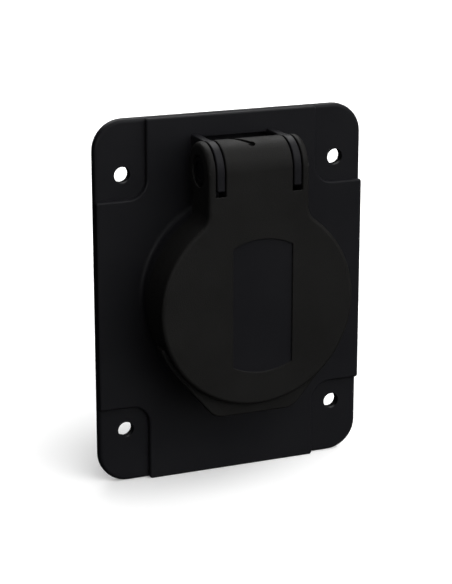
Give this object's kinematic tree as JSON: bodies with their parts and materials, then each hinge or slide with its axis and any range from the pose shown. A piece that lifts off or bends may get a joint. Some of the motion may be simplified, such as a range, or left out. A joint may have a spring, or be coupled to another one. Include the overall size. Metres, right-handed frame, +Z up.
{
  "type": "flanged generator power inlet",
  "caption": "Panel-mount power inlet: rectangular flange with four screw pads, round collar, recessed contacts and a spring-closed hinged lid.",
  "frame": {"origin": "centre of the flange's back face, in the plane of the panel that it is screwed to", "axes": "+Z up through the hinge side, +X to the right seen from the front, +Y into the panel; the lid faces -Y"},
  "size_m": [0.065, 0.0541, 0.085],
  "materials": {
    "housing_plastic": "smooth satin moulding, near black",
    "lid_plastic": "fine spark-eroded texture, near black",
    "carrier_plastic": "matt thermoset",
    "seal_rubber": "matt",
    "contact_metal": "nickel plated, satin",
    "terminal_brass": "machined",
    "screw_steel": "zinc plated",
    "pin_steel": "dark stainless",
    "spring_steel": "dark drawn wire"
  },
  "bodies": {
    "inlet_body": {"flange_housing": "housing_plastic", "flange_gasket": "seal_rubber", "contact_carrier": "carrier_plastic", "carrier_seal": "seal_rubber", "line_blade": "contact_metal", "neutral_blade": "contact_metal", "earth_pin": "contact_metal", "line_terminal": "terminal_brass", "line_terminal_screw": "screw_steel", "neutral_terminal": "terminal_brass", "neutral_terminal_screw": "screw_steel", "earth_terminal": "terminal_brass", "earth_terminal_screw": "screw_steel", "carrier_screw_left": "screw_steel", "carrier_screw_right": "screw_steel", "rear_cover": "housing_plastic", "cover_screw_lower": "screw_steel", "cover_screw_upper": "screw_steel", "cable_grommet": "seal_rubber", "torsion_spring": "spring_steel"},
    "lid_body": {"lid": "lid_plastic", "lid_gasket": "seal_rubber", "hinge_pin": "pin_steel"}
  },
  "joints": [
    {"name": "lid_hinge", "type": "hinge", "parent": "inlet_body", "child": "lid_body", "pos_m": [0, -0.0125, 0.0319], "axis": [-1, 0, 0], "range_deg": [0, 110], "stiffness_Nm_per_rad": 0.03, "springref_deg": -34.38, "deforming": ["torsion_spring"]}
  ]
}
